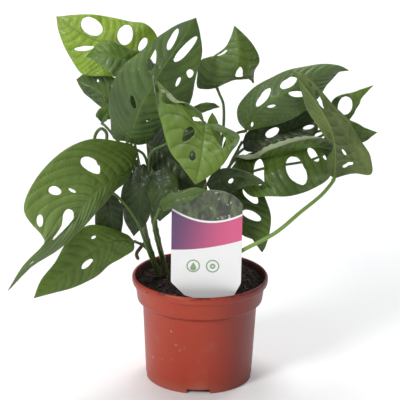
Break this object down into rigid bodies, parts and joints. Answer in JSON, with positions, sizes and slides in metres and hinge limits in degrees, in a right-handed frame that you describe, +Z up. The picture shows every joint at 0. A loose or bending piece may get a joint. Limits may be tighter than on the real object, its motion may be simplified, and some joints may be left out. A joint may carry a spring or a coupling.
{
  "type": "potted monstera plant",
  "caption": "Trailing monstera with oval holes in its hanging heart-shaped leaves, growing in soil in a round plastic nursery pot with a push-in plant label.",
  "frame": {"origin": "centre of the pot's foot on the floor, with the plant spreading evenly around it", "axes": "+Z up along the pot's axis, +X to the right as seen from the label side, -Y towards the label side"},
  "size_m": [0.3113, 0.2244, 0.3192],
  "materials": {
    "pot": "satin terracotta-red moulded polypropylene, lightly scuffed with a dusting of soil",
    "soil": "damp very dark brown peat with fibres and small crumbs",
    "label": "off-white semi-gloss plastic card with a green foliage panel and a purple to pink band, no lettering",
    "vine": "smooth dark green fleshy stem with brown aerial roots",
    "petiole": "smooth satin green leaf stalk",
    "leaf": "waxy satin mid to dark green, paler along the veins, lighter and matt underneath",
    "young_leaf": "soft satin yellow-green with pale veins and a wavy pale margin"
  },
  "bodies": {
    "root": {"pot": "pot", "soil": "soil", "plant_label": "label", "vine_left": "vine", "vine_middle": "vine", "vine_right": "vine", "petiole_young": "petiole", "leaf_young": "young_leaf", "petiole_small_left": "petiole", "leaf_small_left": "leaf", "petiole_tall": "petiole", "leaf_tall": "leaf", "petiole_front": "petiole", "leaf_front": "leaf", "petiole_upper_right": "petiole", "leaf_upper_right": "leaf", "petiole_right_arch": "petiole", "leaf_right_arch": "leaf", "petiole_far_right": "petiole", "leaf_far_right": "leaf", "petiole_right_tip": "petiole", "leaf_right_tip": "leaf", "petiole_right_loop": "petiole", "leaf_right_loop": "leaf", "petiole_lower_right": "petiole", "leaf_lower_right": "leaf", "petiole_big_left": "petiole", "leaf_big_left": "leaf", "petiole_low_left": "petiole", "leaf_low_left": "leaf", "petiole_left_back": "petiole", "leaf_left_back": "leaf", "petiole_curled": "petiole", "leaf_curled": "leaf", "petiole_hanging_left": "petiole", "leaf_hanging_left": "leaf", "petiole_hanging_middle": "petiole", "leaf_hanging_middle": "leaf", "petiole_hanging_right": "petiole", "leaf_hanging_right": "leaf", "petiole_by_label": "petiole", "leaf_by_label": "leaf", "petiole_over_label": "petiole", "leaf_over_label": "leaf", "petiole_low_right": "petiole", "leaf_low_right": "leaf", "petiole_gap": "petiole", "leaf_gap": "leaf", "petiole_new": "petiole", "leaf_new": "leaf", "petiole_dark_right": "petiole", "leaf_dark_right": "leaf", "petiole_dark_middle": "petiole", "leaf_dark_middle": "leaf", "petiole_back_high": "petiole", "leaf_back_high": "leaf", "petiole_back_left": "petiole", "leaf_back_left": "leaf", "petiole_back_right": "petiole", "leaf_back_right": "leaf"}
  },
  "joints": []
}
